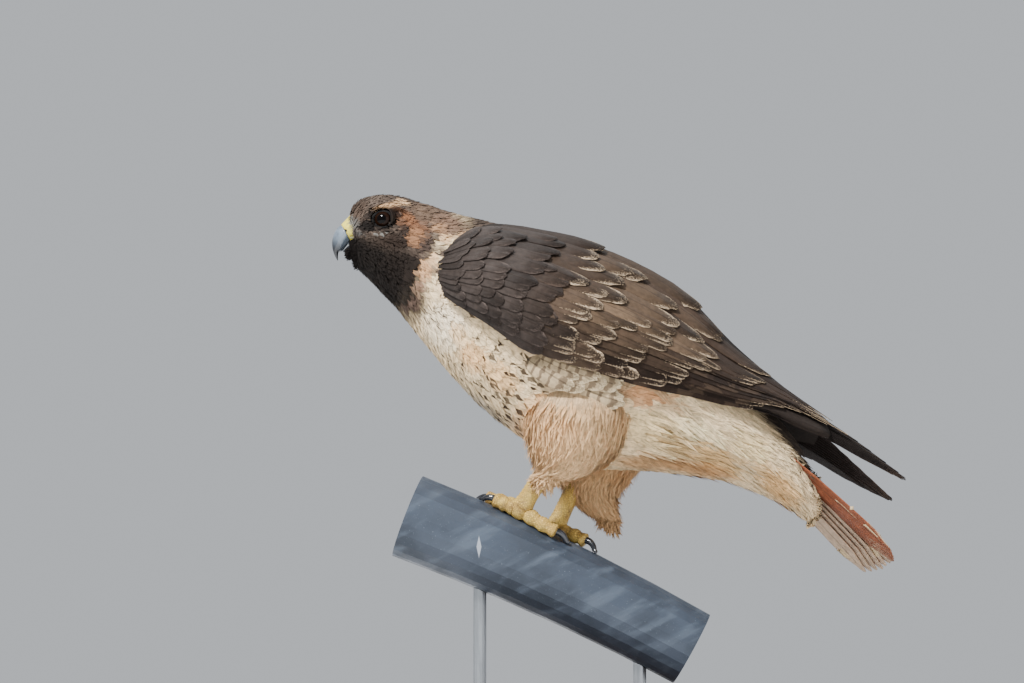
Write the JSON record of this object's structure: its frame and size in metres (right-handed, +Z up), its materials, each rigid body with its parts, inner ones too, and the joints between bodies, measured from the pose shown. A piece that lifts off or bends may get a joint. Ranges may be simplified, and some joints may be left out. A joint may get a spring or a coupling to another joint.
{
  "type": "red-tailed hawk display model",
  "caption": "Life-size still hawk that perches on a short cut length of curved pipe, held over a flat base by short rods.",
  "frame": {"origin": "bottom centre of the whole model's box, on the underside of the base", "axes": "+Z up; the bird faces -X, with its left side towards -Y"},
  "size_m": [0.4372, 0.2, 0.4272],
  "materials": {
    "base_wood": "satin dark wood",
    "rod_steel": "brushed steel",
    "perch_metal": "weathered galvanised grey",
    "plumage_head": "dark brown small feathers",
    "plumage_neck": "brown and buff feathers",
    "plumage_breast": "cream feathers with dark spots",
    "plumage_wing": "dark brown feathers with pale edges",
    "plumage_tail": "rufous feathers, pale below",
    "plumage_thigh": "peach-buff soft feathers",
    "cere_skin": "smooth yellow skin",
    "leg_skin": "scaled yellow skin",
    "bill_horn": "blue-grey horn, black at the tip",
    "claw_horn": "glossy black horn",
    "eye_gloss": "glossy dark brown eye"
  },
  "bodies": {
    "root": {"stand_base": "base_wood", "stand_rod_front": "rod_steel", "stand_rod_rear": "rod_steel", "perch_arm": "perch_metal", "head": "plumage_head", "neck": "plumage_neck", "torso": "plumage_breast", "cere": "cere_skin", "bill_upper": "bill_horn", "bill_lower": "bill_horn", "eye_left": "eye_gloss", "eye_right": "eye_gloss", "wing_left": "plumage_wing", "wing_right": "plumage_wing", "tail": "plumage_tail", "thigh_left": "plumage_thigh", "thigh_right": "plumage_thigh", "tarsus_left": "leg_skin", "tarsus_right": "leg_skin", "foot_left": "leg_skin", "foot_right": "leg_skin", "claw_left_hallux": "claw_horn", "claw_left_inner": "claw_horn", "claw_left_middle": "claw_horn", "claw_left_outer": "claw_horn", "claw_right_hallux": "claw_horn", "claw_right_inner": "claw_horn", "claw_right_middle": "claw_horn", "claw_right_outer": "claw_horn"}
  },
  "joints": []
}
